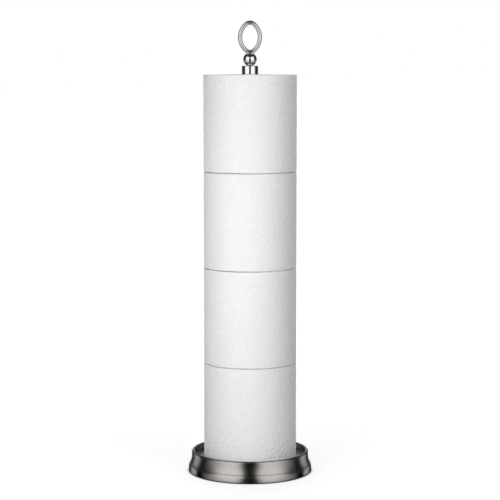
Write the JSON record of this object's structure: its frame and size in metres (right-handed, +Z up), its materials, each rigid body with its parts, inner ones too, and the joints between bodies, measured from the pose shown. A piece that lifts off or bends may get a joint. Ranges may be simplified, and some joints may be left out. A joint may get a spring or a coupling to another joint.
{
  "type": "toilet roll storage stand",
  "caption": "Free-standing toilet roll storage stand: weighted round dish base with rolled rim, upright post, ball and oval loop finial, loaded with stacked rolls that lift off.",
  "frame": {"origin": "on the ground under the middle of the base, in line with the post", "axes": "+Z up along the post, +X to the right along the width of the oval loop, +Y from the front to the back"},
  "size_m": [0.132, 0.132, 0.4802],
  "materials": {
    "satin_nickel": "satin",
    "zinc_steel": "satin",
    "cast_iron": "matte",
    "foam_pad": "matte",
    "tissue_paper": "matte",
    "core_board": "matte"
  },
  "bodies": {
    "stand": {"base_shell": "satin_nickel", "lower_tube": "satin_nickel", "upper_tube": "satin_nickel", "post_cap": "satin_nickel", "finial_ball": "satin_nickel", "finial_ring": "satin_nickel", "bottom_plate": "zinc_steel", "post_bolt": "zinc_steel", "flat_washer": "zinc_steel", "lock_washer": "zinc_steel", "foot_insert": "zinc_steel", "joint_socket": "zinc_steel", "joint_stud": "zinc_steel", "finial_stud": "zinc_steel", "base_ballast": "cast_iron", "floor_pad": "foam_pad"},
    "roll_1": {"roll_1_core": "core_board", "roll_1_paper": "tissue_paper"},
    "roll_2": {"roll_2_core": "core_board", "roll_2_paper": "tissue_paper"},
    "roll_3": {"roll_3_core": "core_board", "roll_3_paper": "tissue_paper"},
    "roll_4": {"roll_4_core": "core_board", "roll_4_paper": "tissue_paper"}
  },
  "joints": [
    {"name": "roll_1_lift", "type": "slide", "parent": "stand", "child": "roll_1", "axis": [0, 0, 1], "range_m": [0, 0.47]},
    {"name": "roll_2_lift", "type": "slide", "parent": "roll_1", "child": "roll_2", "axis": [0, 0, 1], "range_m": [0, 0.368]},
    {"name": "roll_3_lift", "type": "slide", "parent": "roll_2", "child": "roll_3", "axis": [0, 0, 1], "range_m": [0, 0.266]},
    {"name": "roll_4_lift", "type": "slide", "parent": "roll_3", "child": "roll_4", "axis": [0, 0, 1], "range_m": [0, 0.164]}
  ]
}
